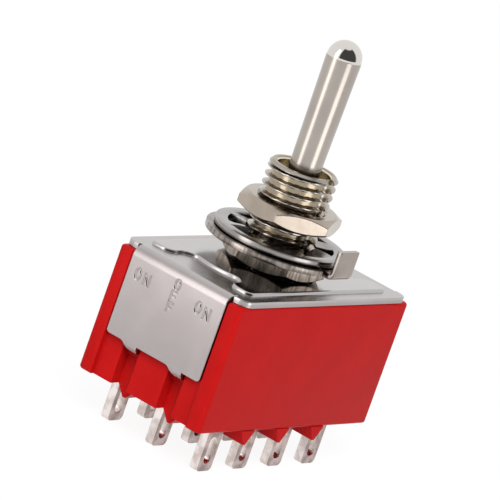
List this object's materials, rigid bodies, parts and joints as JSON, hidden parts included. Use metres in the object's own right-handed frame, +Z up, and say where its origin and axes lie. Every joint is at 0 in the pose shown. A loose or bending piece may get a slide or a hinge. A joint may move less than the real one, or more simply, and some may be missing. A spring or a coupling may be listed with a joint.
{
  "type": "panel toggle switch",
  "caption": "Miniature four-pole, double-throw toggle switch with a centre-off lever, threaded bushing with panel hardware, and solder lugs.",
  "frame": {"origin": "on the bushing's axis, on the flat top face of the frame", "axes": "+Z up along the lever, +X along the throw and the keyway, +Y along the row of poles"},
  "size_m": [0.0136, 0.0244, 0.0359],
  "materials": {
    "red_case": "satin moulded thermoset",
    "frame_steel": "satin plated sheet steel",
    "nickel": "nickel-plated brass",
    "lever_nickel": "nickel-plated brass, turned",
    "washer_steel": "plated spring steel",
    "dark_nylon": "moulded nylon",
    "white_nylon": "moulded acetal",
    "spring_steel": "drawn wire",
    "contact_silver": "silver-plated strip",
    "tinned_brass": "silver-plated brass"
  },
  "bodies": {
    "housing": {"case": "red_case", "frame": "frame_steel", "bushing": "nickel", "locating_washer": "washer_steel", "lock_washer": "washer_steel", "common_terminal_1": "tinned_brass", "front_terminal_1": "tinned_brass", "rear_terminal_1": "tinned_brass", "common_terminal_2": "tinned_brass", "front_terminal_2": "tinned_brass", "rear_terminal_2": "tinned_brass", "common_terminal_3": "tinned_brass", "front_terminal_3": "tinned_brass", "rear_terminal_3": "tinned_brass", "common_terminal_4": "tinned_brass", "front_terminal_4": "tinned_brass", "rear_terminal_4": "tinned_brass"},
    "lever": {"lever": "lever_nickel"},
    "carriage": {"carriage": "dark_nylon", "spring_1": "spring_steel", "spring_2": "spring_steel", "spring_3": "spring_steel", "spring_4": "spring_steel"},
    "lower_nut": {"lower_nut": "nickel"},
    "upper_nut": {"upper_nut": "nickel"},
    "plunger_1": {"plunger_1": "white_nylon"},
    "rocker_1": {"rocker_1": "contact_silver"},
    "plunger_2": {"plunger_2": "white_nylon"},
    "rocker_2": {"rocker_2": "contact_silver"},
    "plunger_3": {"plunger_3": "white_nylon"},
    "rocker_3": {"rocker_3": "contact_silver"},
    "plunger_4": {"plunger_4": "white_nylon"},
    "rocker_4": {"rocker_4": "contact_silver"}
  },
  "joints": [
    {"name": "lever_tilt", "type": "hinge", "parent": "housing", "child": "lever", "pos_m": [0, 0, 0.0046], "axis": [0, 1, 0], "range_deg": [-12, 12]},
    {"name": "carriage_slide", "type": "slide", "parent": "housing", "child": "carriage", "axis": [1, 0, 0], "range_m": [-0.00152, 0.00152]},
    {"name": "lower_nut_turn", "type": "hinge", "parent": "housing", "child": "lower_nut", "pos_m": [0, 0, 0.00109], "axis": [0, 0, 1], "continuous": true},
    {"name": "upper_nut_turn", "type": "hinge", "parent": "housing", "child": "upper_nut", "pos_m": [0, 0, 0.00513], "axis": [0, 0, 1], "continuous": true},
    {"name": "plunger_1_press", "type": "slide", "parent": "carriage", "child": "plunger_1", "axis": [0, 0, 1], "range_m": [0, 0.0004], "stiffness_N_per_m": 300, "springref_m": -0.0008, "deforming": ["spring_1"]},
    {"name": "rocker_1_tip", "type": "hinge", "parent": "housing", "child": "rocker_1", "pos_m": [0, -0.00743, -0.00673], "axis": [0, 1, 0], "range_deg": [-9.1, 9.1]},
    {"name": "plunger_2_press", "type": "slide", "parent": "carriage", "child": "plunger_2", "axis": [0, 0, 1], "range_m": [0, 0.0004], "stiffness_N_per_m": 300, "springref_m": -0.0008, "deforming": ["spring_2"]},
    {"name": "rocker_2_tip", "type": "hinge", "parent": "housing", "child": "rocker_2", "pos_m": [0, -0.00248, -0.00673], "axis": [0, 1, 0], "range_deg": [-9.1, 9.1]},
    {"name": "plunger_3_press", "type": "slide", "parent": "carriage", "child": "plunger_3", "axis": [0, 0, 1], "range_m": [0, 0.0004], "stiffness_N_per_m": 300, "springref_m": -0.0008, "deforming": ["spring_3"]},
    {"name": "rocker_3_tip", "type": "hinge", "parent": "housing", "child": "rocker_3", "pos_m": [0, 0.00248, -0.00673], "axis": [0, 1, 0], "range_deg": [-9.1, 9.1]},
    {"name": "plunger_4_press", "type": "slide", "parent": "carriage", "child": "plunger_4", "axis": [0, 0, 1], "range_m": [0, 0.0004], "stiffness_N_per_m": 300, "springref_m": -0.0008, "deforming": ["spring_4"]},
    {"name": "rocker_4_tip", "type": "hinge", "parent": "housing", "child": "rocker_4", "pos_m": [0, 0.00743, -0.00673], "axis": [0, 1, 0], "range_deg": [-9.1, 9.1]}
  ],
  "couplings": [
    {"joint": "carriage_slide", "follows": "lever_tilt", "m_per_rad": -0.0072},
    {"joint": "rocker_1_tip", "follows": "lever_tilt", "ratio": -0.75},
    {"joint": "rocker_2_tip", "follows": "lever_tilt", "ratio": -0.75},
    {"joint": "rocker_3_tip", "follows": "lever_tilt", "ratio": -0.75},
    {"joint": "rocker_4_tip", "follows": "lever_tilt", "ratio": -0.75}
  ]
}
